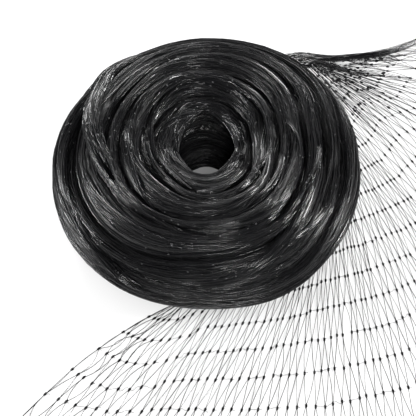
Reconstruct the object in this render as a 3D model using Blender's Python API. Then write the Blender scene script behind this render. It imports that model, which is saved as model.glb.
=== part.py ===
"""Bird netting roll: a hank of fine knotted net with its loose end spread out on the floor.

The net is gathered into ropes and wound round an open hole. Its last stretch leaves the back
of the roll as a gathered rope, runs along the top edge of the loose end and fans out into
diamond mesh in front of the roll and beside it. Run with: blender --background --python part.py
"""
import math

import bmesh
import bpy
from mathutils import Vector

MM = 0.001

# Wound roll
ROLL_WIDTH = 240 * MM  # across the outermost turns
HOLE_WIDTH = 41 * MM  # across the open middle, at its narrowest
ROLL_HEIGHT = 104 * MM  # halfway round; the back is higher and the front is lower
LEAN = 0.05  # share by which the turns are thicker at the back and thinner at the front
FLAT_DEPTH = 1.5 * MM  # how far the roll's own weight flattens its underside
LAP_RISE = 5.0 * MM  # how far a broad rope stands above the grooves beside it
FULL_LAP = 22.0  # degrees round the section at which a rope rises to its full height
LAP_SUNK = 0.8  # share of its rise by which a rope's edges lie below the plain round section
LAP_ROUND = 2.4  # how flat a rope's top is: 2 is a parabola, more is flatter
UNDERSIDE = 0.5 * LAP_RISE  # how far the underside lies inside the plain round section
SEGMENTS = 96  # steps round the roll

RING_RADIUS = (ROLL_WIDTH + HOLE_WIDTH) / 4
HALF_THICK = (ROLL_WIDTH - HOLE_WIDTH) / 4
HALF_HIGH = (ROLL_HEIGHT + FLAT_DEPTH) / 2

# Grooves between the main ropes. Each row is one groove, from the hole outwards. The columns
# are the angle round the section (0 outermost, 90 on top, 180 innermost) at twelve places
# round the roll: 0 (right), 30, 60, 90 (back), ... 180 (left), ... 270 (front), ... 330.
GROOVES = (
    (215, 215, 215, 215, 215, 215, 215, 215, 215, 215, 215, 215),
    (190, 189, 187, 186, 187, 190, 192, 195, 196, 197, 196, 193),
    (160, 156, 152, 146, 151, 160, 167, 168, 166, 163, 166, 166),
    (140, 138, 134, 133, 130, 130, 129, 124, 114, 98, 110, 133),
    (122, 120, 121, 118, 117, 120, 119, 110, 101, 90, 96, 114),
    (110, 110, 109, 107, 104, 103, 99, 87, 73, 70, 82, 104),
    (88, 84, 82, 84, 90, 93, 88, 76, 65, 61, 58, 76),
    (69, 67, 65, 64, 64, 66, 57, 41, 31, 36, 44, 57),
    (47, 46, 43, 40, 40, 40, 33, 24, 14, 6, 11, 33),
    (15, 12, 10, 10, 10, 10, 8, 2, -4, -14, -10, 5),
    (-20, -20, -20, -20, -20, -20, -20, -24, -28, -34, -32, -24),
    (-48, -48, -48, -48, -48, -48, -48, -48, -50, -52, -51, -49),
)
LAP_STEPS = (0.0, 0.2, 0.5, 0.8)  # where the rows of points lie between two grooves
UNDER_TURN = -62.0  # angle round the section of the last row of points above the flat
FLAT_EDGE = 76.5  # degrees below the horizontal at which the flat underside begins

# Ropes that cross over the others. Columns: angle round the roll and round the section at its
# start, the same two at its end, half its width in degrees, and its rise.
CROSSINGS = (
    (118, 58, 202, 76, 8, 3.0 * MM),
    (146, 62, 214, 30, 7, 2.5 * MM),
    (206, 30, 262, -12, 6, 2.5 * MM),
    (262, 14, 342, 66, 6, 2.0 * MM),
)

# Places where the outline bulges or draws in. Columns: angle round the roll, half its spread
# in degrees, and how far it stands out.
BULGES = (
    (215, 34, 3.0 * MM),
    (28, 26, 2.0 * MM),
    (345, 20, -1.5 * MM),
    (120, 24, -1.0 * MM),
)

# Gathered end. Columns: place (x, y, z), half its width and half its height. It starts
# against the back of the roll, comes down to the floor and tapers along the net's top edge.
TAIL = (
    (-72, 99.5, 35, 2.2, 3.0),
    (-56, 110.5, 31, 4.2, 6.0),
    (-37, 118, 26, 6.6, 8.0),
    (-16, 127, 19, 8.0, 8.0),
    (7, 138, 12.5, 8.8, 7.6),
    (31, 150, 8.6, 9.0, 7.2),
    (54, 162, 7.0, 9.2, 7.0),
    (76, 172.5, 6.6, 9.4, 6.6),
    (97, 180, 6.2, 9.4, 6.2),
    (116, 184.5, 4.8, 7.4, 4.8),
    (134, 190, 3.2, 4.4, 3.2),
    (154, 195, 2.6, 3.3, 2.6),
    (176, 201, 2.4, 3.0, 2.4),
    (198, 209, 2.2, 2.8, 2.2),
    (214, 217, 2.0, 2.5, 2.0),
    (228, 224, 1.4, 1.8, 1.4),
)
TAIL_STEPS = 2  # rings of points to each row of TAIL
TAIL_SIDES = 12
TAIL_FLAT = 0.6 * MM  # how far the rope is flattened where it lies on the floor

# Loose end. Each row is one line of mesh that fans out from under the roll: its outer end,
# its middle and its inner end (x, y), the number of its first and last row of knots, and the
# knots between it and the next line.
RIBS = (
    (-132, -191, -70.5, -125.5, -8, -86, 0, 7, 9.5),
    (-57, -204, -19, -138, 18, -72, 0, 6, 12),
    (22, -207, 48, -132.5, 74, -59, 0, 6, 8),
    (82, -208, 91.5, -98, 102.5, 2, 0, 8, 10),
    (149.5, -191, 131.5, -61, 114.5, 60, 0, 10, 7),
    (178, -94, 151, 0, 118, 86, 3, 11, 6),
    (193, -31, 154, 56, 110, 138, 5, 13, 5),
    (201, 35, 157, 112, 112, 160, 7, 13.5, 5),
    (211, 106, 170, 142, 118, 168, 9, 14, 4),
    (218, 156, 171, 167, 126, 175.5, 10, 14, 4),
    (226, 212, 178, 191, 138, 182.5, 11, 14.5, 0),
)
KNOT_STEP = 1.75  # this net's pitch along its rows over the real one
ROW_STEP = 1.0  # and its rows' pitch over the real one
SHEET_THICK = 1.2 * MM
STRAND_WIDTH = 1.1 * MM
KNOT_LENGTH = 3.0 * MM
BORDER_WIDTH = 1.5 * MM  # the gathered left edge
SLIMMEST = 0.3  # half a knot's width over the space beside it, where the mesh is drawn together
LEAST_SPACING = 2.2 * MM  # knots closer together than this are left out
UNDER_ROLL = 87 * MM  # how near the roll's axis the net reaches under its overhang
ROW_REACH = 20 * MM  # a row that would lie up to this much nearer is moved out to there


def clear_scene():
    for obj in list(bpy.data.objects):
        bpy.data.objects.remove(obj, do_unlink=True)


def material(name, colour, roughness):
    """A plain Principled material."""
    made = bpy.data.materials.new(name)
    made.use_nodes = True
    shader = made.node_tree.nodes["Principled BSDF"]
    shader.inputs["Base Color"].default_value = (*colour, 1.0)
    shader.inputs["Roughness"].default_value = roughness
    shader.inputs["Metallic"].default_value = 0.0
    return made


def add_object(name, points, faces, finish, smooth=False):
    """One closed mesh object with its own material and its faces pointing out."""
    mesh = bpy.data.meshes.new(name)
    mesh.from_pydata(points, [], faces)
    work = bmesh.new()
    work.from_mesh(mesh)
    bmesh.ops.recalc_face_normals(work, faces=work.faces)
    work.to_mesh(mesh)
    work.free()
    if smooth:
        mesh.shade_smooth()
    mesh.materials.append(finish)
    obj = bpy.data.objects.new(name, mesh)
    bpy.context.scene.collection.objects.link(obj)
    return obj


def curve_through(values, at):
    """A smooth closed curve through evenly spaced values, read at a fraction of the turn."""
    count = len(values)
    place = (at % 1.0) * count
    i = int(place)
    f = place - i
    a, b, c, d = (values[(i + k) % count] for k in (-1, 0, 1, 2))
    bend = 2 * a - 5 * b + 4 * c - d
    return b + 0.5 * f * (c - a + f * (bend + f * (3 * (b - c) + d - a)))


def open_curve(rows, at):
    """A smooth open curve through rows of numbers, read at a row number that may be a fraction."""
    i = min(int(at), len(rows) - 2)
    f = at - i
    first = rows[max(i - 1, 0)]
    last = rows[min(i + 2, len(rows) - 1)]
    made = []
    for a, b, c, d in zip(first, rows[i], rows[i + 1], last):
        bend = 2 * a - 5 * b + 4 * c - d
        made.append(b + 0.5 * f * (c - a + f * (bend + f * (3 * (b - c) + d - a))))
    return made


def crossing_rise(around, section):
    """How far the crossing ropes lift the surface, both angles in degrees."""
    rise = 0.0
    for start, from_section, end, to_section, half, height in CROSSINGS:
        along = (around - start) / (end - start)
        if not 0.0 < along < 1.0:
            continue
        ease = along * along * (3 - 2 * along)
        off = (section - from_section - (to_section - from_section) * ease) / half
        fade = min(1.0, 4 * along, 4 * (1 - along))
        rise = max(rise, height * fade * math.sqrt(max(0.0, 1.0 - off * off)))
    return rise


def outline_bulge(around):
    total = 0.0
    for angle, half, height in BULGES:
        off = (around - angle + 180) % 360 - 180
        total += height * math.exp(-((off / half) ** 2))
    return total


def roll_point(around, section, relief):
    """A point of the roll from its two angles in degrees and its height above the ropes' feet."""
    turn = math.radians(around)
    tilt = math.radians(section)
    scale = 1 + LEAN * math.sin(turn)
    out = relief + outline_bulge(around) * max(0.0, math.cos(tilt))
    rho = RING_RADIUS + (HALF_THICK * scale + out) * math.cos(tilt)
    z = HALF_HIGH * scale * (1 + math.sin(tilt)) + out * math.sin(tilt) - FLAT_DEPTH
    return (rho * math.cos(turn), rho * math.sin(turn), max(0.0, z))


def flat_point(around, section):
    """A point on the edge of the flat underside."""
    x, y, _ = roll_point(around, section, -UNDERSIDE)
    return (x, y, 0.0)


def roll_section(around):
    """The points of the roll's section at one angle, from under the hole over the top."""
    at = around / 360.0
    grooves = [curve_through(row, at) for row in GROOVES]
    points = [flat_point(around, 180 + FLAT_EDGE)]
    for upper, lower in zip(grooves, grooves[1:]):
        rise = LAP_RISE * min(1.0, (upper - lower) / FULL_LAP)
        for f in LAP_STEPS:
            section = upper + (lower - upper) * f
            round_top = 1.0 - abs(2 * f - 1) ** LAP_ROUND
            relief = rise * (round_top - LAP_SUNK) + crossing_rise(around, section)
            points.append(roll_point(around, section, relief))
    points.append(roll_point(around, grooves[-1], -LAP_SUNK * LAP_RISE))
    points.append(roll_point(around, UNDER_TURN, -UNDERSIDE))
    points.append(flat_point(around, -FLAT_EDGE))
    return points


def wound_roll():
    """The wound form with its main ropes, closed round the hole and flat underneath."""
    rings = [roll_section(360.0 * i / SEGMENTS) for i in range(SEGMENTS)]
    rows = len(rings[0])
    points = [p for ring in rings for p in ring]
    faces = []
    for i in range(SEGMENTS):
        j = (i + 1) % SEGMENTS
        for k in range(rows):
            m = (k + 1) % rows
            faces.append((i * rows + k, i * rows + m, j * rows + m, j * rows + k))
    finish = material("Wound nylon twine", (0.012, 0.012, 0.013), 0.42)
    return add_object("wound_roll", points, faces, finish, smooth=True)


def gathered_tail():
    """The gathered rope from the back of the roll along the top edge of the net."""
    count = (len(TAIL) - 1) * TAIL_STEPS + 1
    rows = [open_curve(TAIL, i / TAIL_STEPS) for i in range(count)]
    centres = [Vector(row[:3]) * MM for row in rows]
    points = []
    for i, row in enumerate(rows):
        ahead = centres[min(i + 1, count - 1)] - centres[max(i - 1, 0)]
        side = Vector((ahead.y, -ahead.x, 0.0)).normalized()
        up = side.cross(ahead).normalized()
        for k in range(TAIL_SIDES):
            angle = 2 * math.pi * k / TAIL_SIDES
            across = side * (row[3] * MM * math.cos(angle))
            point = centres[i] + across + up * (row[4] * MM * math.sin(angle))
            points.append((point.x, point.y, max(0.0, point.z - TAIL_FLAT)))
    faces = [tuple(range(TAIL_SIDES)), tuple(range((count - 1) * TAIL_SIDES, count * TAIL_SIDES))]
    for i in range(count - 1):
        for k in range(TAIL_SIDES):
            m = (k + 1) % TAIL_SIDES
            a, b = i * TAIL_SIDES, (i + 1) * TAIL_SIDES
            faces.append((a + k, a + m, b + m, b + k))
    finish = material("Gathered nylon twine", (0.012, 0.012, 0.013), 0.42)
    return add_object("gathered_tail", points, faces, finish, smooth=True)


def rib_place(rib, row):
    """Where a rib crosses a row of knots, on its parabola through three points."""
    x0, y0, x1, y1, x2, y2, first, last, _ = rib
    f = (row - first) / (last - first)
    outer = 2 * (f - 0.5) * (f - 1)
    middle = 4 * f * (1 - f)
    inner = 2 * f * (f - 0.5)
    return (outer * x0 + middle * x1 + inner * x2, outer * y0 + middle * y1 + inner * y2)


def net_place(column, row):
    """A knot's place on the floor in metres, or None where the net doesn't reach."""
    passed = 0.0
    for i in range(len(RIBS) - 1):
        knots = RIBS[i][8]
        if column <= passed + knots or i == len(RIBS) - 2:
            f = (column - passed) / knots
            break
        passed += knots
    if f > 1.0 + 1e-6:
        return None
    left, right = RIBS[i], RIBS[i + 1]
    first = left[6] + (right[6] - left[6]) * f
    last = left[7] + (right[7] - left[7]) * f
    if not first - 0.01 <= row <= last + 0.01:
        return None
    a, b = rib_place(left, row), rib_place(right, row)
    place = Vector((a[0] + (b[0] - a[0]) * f, a[1] + (b[1] - a[1]) * f, 0.0)) * MM
    if place.length < UNDER_ROLL - ROW_REACH:
        return None
    return place * max(1.0, UNDER_ROLL / place.length)


def net_knots():
    """The knots by row and column, each row half a mesh aside from the next."""
    columns = sum(rib[8] for rib in RIBS)
    rows = max(rib[7] for rib in RIBS)
    knots = {}
    for i in range(int(rows / ROW_STEP) + 1):
        for j in range(int(columns / KNOT_STEP) + 1):
            shift = 0.5 if i % 2 and j else 0.0
            place = net_place((j + shift) * KNOT_STEP, i * ROW_STEP)
            beside = knots.get((i, j - 1))
            if place is None or (beside and (place - beside).length < LEAST_SPACING):
                continue
            knots[i, j] = place
    return knots


def links_of(i, j):
    """The two knots of the next row that a knot is tied to: on its left and on its right."""
    if i % 2 == 0:
        return (i + 1, j - 1), (i + 1, j)
    return (i + 1, j), (i + 1, j + 1)


def linked(knots):
    """The knots and bars that hang together, without stray ends."""
    while True:
        bars = [(a, b) for a in knots for b in links_of(*a) if b in knots]
        ends = [end for bar in bars for end in bar]
        loose = [key for key in knots if ends.count(key) < 2]
        if not loose:
            return knots, bars
        for key in loose:
            del knots[key]


def loose_net():
    """Diamond mesh in one sheet: a small block for each knot and a flat bar for each strand."""
    knots, bars = linked(net_knots())
    heading = {key: Vector() for key in knots}
    for a, b in bars:
        along = (knots[b] - knots[a]).normalized()
        for end, other in ((a, b), (b, a)):
            if end[1] > 0 or other[1] == 0:
                heading[end] += along
    corners = {}
    points = []
    for (i, j), place in knots.items():
        beside = [knots[key] for key in ((i, j - 1), (i, j + 1)) if key in knots]
        wide = min([STRAND_WIDTH] + [SLIMMEST * (other - place).length for other in beside])
        if j == 0:
            wide = BORDER_WIDTH
        along = heading[i, j].normalized()
        across = Vector((along.y, -along.x, 0.0))
        corners[i, j] = len(points) // 2
        for offset in (
            along * KNOT_LENGTH / 2,
            across * wide,
            -along * KNOT_LENGTH / 2,
            -across * wide,
        ):
            for z in (0.0, SHEET_THICK):
                points.append(place + offset + Vector((0.0, 0.0, z)))
    # Corner numbers of a knot: 0 inner, 1 right, 2 outer, 3 left. Even points are the underside.
    walls = {}
    faces = []

    def plate(ring):
        faces.append([2 * k + 1 for k in ring])
        faces.append([2 * k for k in reversed(ring)])
        for a, b in zip(ring, ring[1:] + ring[:1]):
            if (b, a) in walls:
                del walls[b, a]
            else:
                walls[a, b] = True

    for key in knots:
        base = corners[key]
        plate([base, base + 3, base + 2, base + 1])
    for a, b in bars:
        start, end = corners[a], corners[b]
        if b == links_of(*a)[1]:
            plate([start + 1, end + 2, end + 3, start])
        else:
            plate([start, end + 1, end + 2, start + 3])
    for a, b in walls:
        faces.append([2 * a, 2 * b, 2 * b + 1, 2 * a + 1])
    finish = material("Knotted nylon net", (0.02, 0.02, 0.022), 0.45)
    return add_object("loose_net", points, faces, finish)


def stand_on_origin(objects):
    """Move the meshes so that the middle of the whole thing's underside is the origin."""
    everything = [v.co for obj in objects for v in obj.data.vertices]
    low = [min(p[k] for p in everything) for k in range(3)]
    high = [max(p[k] for p in everything) for k in range(3)]
    shift = Vector((-(low[0] + high[0]) / 2, -(low[1] + high[1]) / 2, -low[2]))
    for obj in objects:
        for v in obj.data.vertices:
            v.co += shift
    return shift


def main():
    clear_scene()
    objects = [wound_roll(), gathered_tail(), loose_net()]
    stand_on_origin(objects)


main()
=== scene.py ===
"""Bird netting roll: a hank of fine black knotted nylon net wound round an open middle.

Its gathered end leaves the back of the roll and lies along the top edge of the loose end,
which is spread on the floor in diamond mesh.
"""
import math

import bpy
import numpy as np
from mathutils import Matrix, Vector


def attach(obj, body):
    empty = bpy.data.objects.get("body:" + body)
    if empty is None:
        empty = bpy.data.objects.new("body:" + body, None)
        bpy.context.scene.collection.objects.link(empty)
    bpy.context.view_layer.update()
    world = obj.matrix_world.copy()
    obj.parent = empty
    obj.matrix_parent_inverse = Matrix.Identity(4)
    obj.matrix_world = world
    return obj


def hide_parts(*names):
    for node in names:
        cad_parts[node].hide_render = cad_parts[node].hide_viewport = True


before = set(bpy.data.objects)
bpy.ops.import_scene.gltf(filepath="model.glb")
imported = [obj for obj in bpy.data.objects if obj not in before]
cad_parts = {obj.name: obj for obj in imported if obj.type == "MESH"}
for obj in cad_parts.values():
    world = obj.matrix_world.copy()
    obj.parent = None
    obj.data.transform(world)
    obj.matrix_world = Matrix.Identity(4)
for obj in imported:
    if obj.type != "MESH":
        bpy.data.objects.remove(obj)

bl_info = {
    "name": "Bird Netting Roll",
    "version": (1, 0, 0),
    "blender": (4, 5, 0),
    "location": "View3D > Sidebar > Netting",
    "description": "A wound hank of knotted bird net with its loose end spread out",
    "category": "Add Mesh",
}

MM = 0.001
AXIS = np.array([-53.53, -8.15]) * MM  # the roll's axis, where it meets the floor
PLACES = 12  # even steps round the roll at which the tables give their values

# Grooves between the main ropes. Each row is one groove, from inside the hole outwards. The
# columns are the angle round the section (0 outermost, 90 on top, 180 innermost) at twelve
# places round the roll: 0 (right), 30, 60, 90 (back), ... 180 (left), ... 270 (front), ... 330.
GROOVES = (
    (250,) * PLACES,
    (215,) * PLACES,
    (190, 189, 187, 186, 187, 190, 192, 195, 196, 197, 196, 193),
    (160, 156, 152, 146, 151, 160, 167, 168, 166, 163, 166, 166),
    (140, 138, 134, 133, 130, 130, 129, 124, 114, 98, 110, 133),
    (122, 120, 121, 118, 117, 120, 119, 110, 101, 90, 96, 114),
    (110, 110, 109, 107, 104, 103, 99, 87, 73, 70, 82, 104),
    (88, 84, 82, 84, 90, 93, 88, 76, 65, 61, 58, 76),
    (69, 67, 65, 64, 64, 66, 57, 41, 31, 36, 44, 57),
    (47, 46, 43, 40, 40, 40, 33, 24, 14, 6, 11, 33),
    (15, 12, 10, 10, 10, 10, 8, 2, -4, -14, -10, 5),
    (-20, -20, -20, -20, -20, -20, -20, -24, -28, -34, -32, -24),
    (-48, -48, -48, -48, -48, -48, -48, -48, -50, -52, -51, -49),
    (-72,) * PLACES,
)

# How deep the cleft at each groove is in millimetres, at the same twelve places.
CLEFTS = (
    (0.0,) * PLACES,
    (0.5,) * PLACES,
    (1.0,) * PLACES,
    (1.5, 1.5, 1.5, 1.5, 1.5, 1.5, 1.0, 1.0, 1.0, 1.0, 1.0, 1.0),
    (5.0, 3.5, 2.5, 2.0, 2.5, 4.0, 6.0, 7.0, 6.5, 6.0, 7.0, 7.0),
    (3.0, 2.5, 1.5, 1.0, 1.5, 2.5, 2.5, 2.5, 4.0, 3.0, 2.0, 2.0),
    (2.0, 4.0, 2.5, 1.5, 1.0, 1.5, 5.0, 4.0, 2.0, 1.0, 1.0, 3.0),
    (3.0, 2.5, 1.5, 1.5, 3.0, 6.0, 6.0, 6.0, 4.5, 3.5, 3.0, 5.0),
    (3.5, 2.0, 2.0, 1.5, 1.5, 4.5, 4.0, 5.0, 6.0, 6.0, 5.0, 4.5),
    (4.5, 3.0, 3.0, 3.0, 3.0, 3.0, 3.5, 6.5, 7.0, 7.0, 6.5, 6.0),
    (3.0, 3.0, 3.0, 3.0, 3.0, 3.0, 4.0, 6.0, 6.5, 6.0, 5.0, 3.5),
    (3.0,) * PLACES,
    (3.0,) * PLACES,
    (0.0,) * PLACES,
)

# Narrower grooves inside the main ropes. Columns: angle round the roll and round the section
# at the start, in the middle and at the end, then the depth and the half width in millimetres.
SEAMS = (
    (10, 134, 40, 133, 70, 134, 1.6, 1.2),
    (308, 84, 342, 107, 375, 113, 2.4, 1.4),
    (15, 98, 50, 108.5, 90, 107, 2.6, 1.4),
    (20, 96, 32, 98.5, 45, 104, 1.4, 1.0),
    (40, 91, 50, 98, 60, 101, 1.4, 1.0),
    (8, 84, 24, 84.6, 40, 82.5, 1.4, 1.0),
    (12, 67.5, 30, 68.5, 50, 69, 1.4, 1.0),
    (90, 145, 130, 154, 165, 162, 2.2, 1.2),
    (118, 115, 145, 120.5, 170, 123, 1.8, 1.2),
    (130, 112, 155, 112, 180, 112, 1.4, 1.0),
    (130, 104, 148, 104, 165, 104, 1.2, 1.0),
    (120, 90, 145, 94.2, 180, 88.5, 2.8, 1.5),
    (115, 86.5, 142, 89, 170, 81, 2.0, 1.2),
    (147, 63, 160, 69, 180, 71.5, 2.0, 1.2),
    (163, 62, 196, 50, 230, 35, 2.4, 1.4),
    (180, 99, 225, 80, 270, 62, 1.8, 1.1),
    (180, 88, 230, 69.5, 296, 58, 3.2, 1.6),
    (203, 62, 225, 58, 240, 55, 1.4, 1.0),
    (205, 57, 236, 48, 270, 44.5, 1.8, 1.1),
    (210, 30, 240, 28, 270, 36, 2.0, 1.2),
    (233, 14.5, 250, 16.5, 265, 18, 1.2, 1.0),
    (238, 14, 285, 7, 310, 18, 3.0, 1.6),
    (306, 14, 330, 33, 360, 46, 3.0, 1.6),
    (215, 23, 236, 6, 258, -14, 2.2, 1.4),
    (280, 70, 312, 82.5, 350, 100, 2.2, 1.2),
    (296, 58, 325, 72, 360, 91, 2.6, 1.5),
    (270, 46, 295, 50.5, 318, 60, 2.0, 1.2),
    (300, 45, 330, 57, 360, 69, 2.4, 1.4),
)

# Ropes that cross over the others. Columns: angle round the roll and round the section at the
# start, the same two at the end, half the width in degrees, and the rise in millimetres.
CROSSINGS = (
    (118, 56, 214, 78, 8, 4.2),
    (146, 62, 222, 28, 7, 3.4),
    (206, 30, 262, -12, 6, 3.0),
    (262, 14, 342, 66, 6, 2.6),
)

# Strands that stand out on the ropes. Columns: angle round the roll and round the section at
# the start, in the middle and at the end, half the width in degrees, the rise in millimetres.
STRANDS = (
    (350, 131, 400, 125, 466, 113, 2.2, 1.4),
    (-6, 147, 30, 143, 76, 146, 3.0, 1.0),
    (96, 142, 132, 140, 186, 130, 2.4, 1.2),
    (112, 142, 145, 150, 186, 160, 3.0, 1.0),
    (136, 119, 165, 124, 216, 124, 1.6, 1.2),
    (112, 84, 140, 91, 172, 83, 1.6, 1.6),
    (134, 58, 158, 72, 196, 79, 2.4, 1.8),
    (136, 107, 165, 108, 205, 105, 1.4, 0.9),
    (180, 102, 212, 96, 246, 70, 2.0, 1.8),
    (186, 106, 220, 97, 256, 88, 2.4, 1.4),
    (176, 66, 212, 70, 262, 58, 2.0, 1.2),
    (200, 34, 228, 17, 256, -7, 2.4, 2.0),
    (196, 60, 230, 52, 272, 47, 2.6, 0.9),
    (202, 134, 226, 124, 262, 103, 2.2, 1.2),
    (268, 55, 285, 56, 306, 62, 2.2, 1.4),
    (264, 102, 290, 109, 322, 132, 2.0, 1.2),
    (286, 122, 312, 134, 352, 150, 3.0, 1.2),
    (292, 80, 312, 87, 338, 104, 2.4, 1.2),
    (296, 104, 318, 109, 344, 114, 1.8, 1.0),
    (296, 64, 326, 78, 366, 105, 1.6, 1.6),
    (314, 62, 332, 68, 350, 72, 1.8, 1.2),
    (294, 38, 322, 40, 346, 52, 2.2, 1.4),
    (290, 18, 314, 30, 340, 48, 2.6, 1.4),
    (310, 10, 342, 17, 380, 29, 2.6, 1.2),
    (256, 9, 270, 9, 292, 8, 1.6, 1.0),
)

# How far the outline bulges or draws in, in millimetres, at the same twelve places.
BULGES = ((-0.2, 1.2, -0.8, -3.4, -5.2, -2.8, -0.5, 0.9, 1.5, -0.5, 2.7, 0.2),)

# Broad hollows between ropes and places where a rope is sunk. Columns: angle round the roll and
# half its spread, angle round the section and half its spread, all in degrees, then the depth
# in millimetres.
HOLLOWS = (
    (338, 26, 51, 8, 3.5),
    (268, 26, 146, 26, 4.5),
    (200, 40, 128, 5, 2.5),
    (90, 14, 205, 22, 1.8),
)

# Places where the threads are dulled and painted blacker: less gloss, and a darker colour that is
# painted shade. Columns as above, but the last is the share of the gloss that is lost.
SHADED_DULL_PATCHES = (
    (150, 18, 150, 24, 0.4),
    (22, 18, 112, 18, 0.6),
    (146, 20, 100, 24, 0.6),
    (340, 22, 54, 14, 0.85),
    (192, 14, 46, 16, 0.2),
    (268, 44, 134, 34, 0.9),
    (286, 18, 112, 14, 0.4),
    (192, 14, 10, 24, 0.6),
    (60, 34, 70, 60, 0.35),
    (0, 30, 100, 40, 0.5),
    (110, 80, 186, 16, 0.9),
    (355, 25, 180, 14, 0.4),
)

# Gathered end. Columns: place (x, y, z) from the roll's axis, half its width and half its
# height, all in millimetres. The rope from behind the roll parts into a band and a branch.
GATHERED = (
    (-72, 99.5, 35, 2.2, 3.0),
    (-56, 110.5, 31, 4.2, 6.0),
    (-37, 118, 26, 6.6, 8.0),
    (-16, 127, 19, 8.0, 8.0),
    (7, 138, 12.5, 8.8, 7.6),
    (31, 150, 9.0, 9.0, 7.2),
    (54, 162, 8.0, 9.2, 7.0),
)
BAND = GATHERED + (
    (76, 175.5, 9.0, 7.2, 6.0),
    (92, 181.5, 7.4, 6.2, 5.0),
    (105, 185, 5.0, 4.2, 3.8),
    (121, 186.8, 3.4, 2.8, 2.8),
    (146, 190, 2.8, 2.5, 2.4),
    (172, 195, 2.6, 2.4, 2.2),
    (190, 202.5, 2.5, 2.4, 2.2),
    (208, 212, 2.4, 2.4, 2.0),
    (226, 223.5, 2.2, 2.2, 1.8),
)
BRANCH = GATHERED + (
    (76, 171, 7.0, 8.6, 6.0),
    (92, 176.5, 5.4, 6.6, 4.6),
    (104, 179, 4.2, 4.8, 3.4),
    (113, 178.3, 3.4, 4.0, 2.6),
    (122, 176, 2.8, 3.0, 2.2),
    (136, 171, 2.2, 2.4, 1.8),
    (152, 165.8, 1.6, 1.8, 1.3),
    (170, 164, 1.2, 1.2, 1.0),
)

# Loose end. Each row is one line of mesh that fans out from under the roll: its outer end, its
# middle and its inner end (x, y) in millimetres from the roll's axis, the number of its first
# and last row of knots, and the knots between it and the next line.
RIBS = (
    (-132, -191, -70.5, -125.5, -8, -86, 0, 7, 9.5),
    (-57, -204, -19, -138, 18, -72, 0, 6, 12),
    (22, -207, 48, -132.5, 74, -59, 0, 6, 8),
    (82, -208, 91.5, -98, 102.5, 2, 0, 8, 10),
    (149.5, -191, 131.5, -61, 114.5, 60, 0, 10, 7),
    (178, -94, 151, 0, 118, 86, 3, 11, 6),
    (193, -31, 154, 56, 110, 138, 5, 13, 5),
    (201, 35, 157, 112, 112, 160, 7, 13.5, 5),
    (211, 106, 170, 142, 118, 168, 9, 14, 4),
    (218, 156, 171, 167, 126, 175.5, 10, 14, 4),
    (226, 212, 178, 191, 138, 182.5, 11, 14.5, 0),
)


def linear(hex_colour):
    """An sRGB hex colour as linear red, green and blue."""
    parts = [int(hex_colour[i : i + 2], 16) / 255 for i in (1, 3, 5)]
    return [c / 12.92 if c <= 0.04045 else ((c + 0.055) / 1.055) ** 2.4 for c in parts]


def length(name, description, default):
    """A property for a length in metres."""
    return bpy.props.FloatProperty(
        name=name, description=description, default=default, unit="LENGTH", subtype="DISTANCE"
    )


def tint(name, description, hex_colour):
    """A property for a colour."""
    return bpy.props.FloatVectorProperty(
        name=name, description=description, default=linear(hex_colour), subtype="COLOR",
        min=0.0, max=1.0,
    )


class RollSizes(bpy.types.PropertyGroup):
    """Sizes of the wound roll."""

    width: length("Width", "Across the outermost turns", 0.240)
    hole: length("Hole", "Across the open middle at its narrowest", 0.041)
    height: length("Height", "Halfway round; the back is higher", 0.104)
    lean: bpy.props.FloatProperty(
        name="Lean", description="Share by which the back is thicker than halfway round",
        default=0.05, subtype="FACTOR",
    )
    thread: length("Thread", "Wound thread, coarser than the real 0.4 mm to show", 0.00064)
    lock_width: length("Lock width", "Width of the locks that the threads lie in", 0.0034)
    layers: bpy.props.FloatProperty(
        name="Layers", description="How many times the locks cover the roll", default=2.2, min=1,
    )


class NetSizes(bpy.types.PropertyGroup):
    """Sizes of the spread net."""

    thread: length("Thread", "Spread thread, a little coarser than the real one too", 0.00048)
    knot_length: length("Knot length", "Length of a knot along the threads", 0.0044)
    knot_width: length("Knot width", "Width of a knot", 0.0020)


class NetFinish(bpy.types.PropertyGroup):
    """Colours of the threads and the floor."""

    black: tint("Thread", "Nylon dyed in the mass", "#030304")
    worn: tint("Scuffed thread", "Where the thread is scuffed grey", "#0f0f10")
    # painted highlight: the knots' lighter grey stands for the glints on them
    knot: tint("Knot", "Wound knots that have been pulled whitish", "#2c2c2e")
    floor: tint("Floor", "Plain pale floor", "#666666")
    glow: bpy.props.FloatProperty(
        name="Table glow", description="Light that comes up through the floor",
        default=0.72, min=0.0,
    )


# ---------------------------------------------------------------- shapes


def between(a, b, c, d, f):
    """A smooth curve from b to c at a fraction, where a comes before them and d after."""
    bend = 2 * a - 5 * b + 4 * c - d
    return b + 0.5 * f * (c - a + f * (bend + f * (3 * (b - c) + d - a)))


def round_curve(rows, turn):
    """Each row of a table of even steps round the roll, read smoothly at angles in degrees."""
    rows = np.asarray(rows, float)
    count = rows.shape[1]
    place = (np.asarray(turn, float) / 360.0 % 1.0) * count
    i = place.astype(int)
    return between(*(rows[:, (i + k) % count] for k in (-1, 0, 1, 2)), place - i)


def open_curve(rows, at):
    """A smooth open curve through the rows of a table, read at row numbers with fractions."""
    rows = np.asarray(rows, float)
    at = np.asarray(at, float)
    last = len(rows) - 1
    i = np.clip(at.astype(int), 0, last - 1)
    return between(*(rows[np.clip(i + k, 0, last)] for k in (-1, 0, 1, 2)), (at - i)[:, None])


def eased(f):
    """A fraction from 0 to 1 with both its ends made smooth."""
    return f * f * (3 - 2 * f)


def bell(off, half):
    """1 in the middle, falling smoothly to a third at half its spread."""
    return np.exp(-((off / half) ** 2))


def faded(along, slope):
    """1 along a path, falling to 0 over the last share, 1 / slope, of it at both ends."""
    return np.clip(np.minimum(along, 1 - along) * slope, 0, 1)


def bent_path(row, along):
    """Angle round the section on a parabola through a row's start, middle and end."""
    t0, s0, t1, s1, t2, s2 = row[:6]
    m = (t1 - t0) / (t2 - t0)
    bend = (s1 - s0 - (s2 - s0) * m) / (m * m - m)
    return s0 + (s2 - s0 - bend) * along + bend * along * along


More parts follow.
